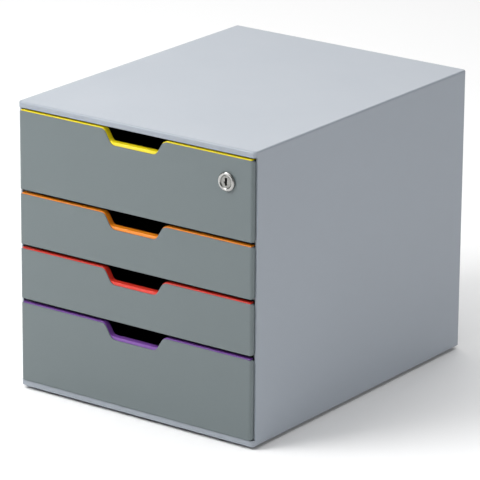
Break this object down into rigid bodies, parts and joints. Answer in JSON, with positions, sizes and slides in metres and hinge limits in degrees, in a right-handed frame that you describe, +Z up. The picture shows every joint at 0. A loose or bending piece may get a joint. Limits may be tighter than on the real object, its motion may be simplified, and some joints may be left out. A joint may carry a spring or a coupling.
{
  "type": "desktop file drawer box",
  "caption": "Closed desktop drawer box for files, with tall and low sliding drawers, coloured rims at the finger notches and a cam lock in the top drawer.",
  "frame": {"origin": "bottom centre of the overall box, on the surface that the feet stand on", "axes": "+Z up, drawer fronts face -Y and open that way, +X to the right when facing the fronts"},
  "size_m": [0.28, 0.3586, 0.292],
  "materials": {
    "housing_grey": "fine satin moulded texture",
    "runner_grey": "plain moulded",
    "front_dark": "fine satin moulded texture",
    "tray_dark": "plain moulded",
    "rim_yellow": "smooth moulded",
    "rim_orange": "smooth moulded",
    "rim_red": "smooth moulded",
    "rim_purple": "smooth moulded",
    "lock_nickel": "nickel plated",
    "plug_nickel": "nickel plated, fine turned",
    "steel_zinc": "zinc plated",
    "rubber": "soft matt"
  },
  "bodies": {
    "housing": {"housing_shell": "housing_grey", "back_panel": "housing_grey", "runner_frame_left": "runner_grey", "runner_frame_right": "runner_grey", "lock_strike": "steel_zinc", "foot_front_left": "rubber", "foot_front_right": "rubber", "foot_rear_left": "rubber", "foot_rear_right": "rubber"},
    "drawer_1": {"tray_1": "tray_dark", "rim_strip_1": "rim_yellow", "drawer_front_1": "front_dark", "lock_body": "lock_nickel", "lock_nut": "steel_zinc"},
    "drawer_2": {"tray_2": "tray_dark", "rim_strip_2": "rim_orange", "drawer_front_2": "front_dark"},
    "drawer_3": {"tray_3": "tray_dark", "rim_strip_3": "rim_red", "drawer_front_3": "front_dark"},
    "drawer_4": {"tray_4": "tray_dark", "rim_strip_4": "rim_purple", "drawer_front_4": "front_dark"},
    "lock_core": {"lock_plug": "plug_nickel", "lock_cam": "steel_zinc", "cam_screw": "steel_zinc"}
  },
  "joints": [
    {"name": "drawer_1_slide", "type": "slide", "parent": "housing", "child": "drawer_1", "axis": [0, -1, 0], "range_m": [0, 0.25]},
    {"name": "drawer_2_slide", "type": "slide", "parent": "housing", "child": "drawer_2", "axis": [0, -1, 0], "range_m": [0, 0.25]},
    {"name": "drawer_3_slide", "type": "slide", "parent": "housing", "child": "drawer_3", "axis": [0, -1, 0], "range_m": [0, 0.25]},
    {"name": "drawer_4_slide", "type": "slide", "parent": "housing", "child": "drawer_4", "axis": [0, -1, 0], "range_m": [0, 0.25]},
    {"name": "lock_turn", "type": "hinge", "parent": "drawer_1", "child": "lock_core", "pos_m": [0.1087, -0.17575, 0.2588], "axis": [0, 1, 0], "range_deg": [0, 90]}
  ]
}
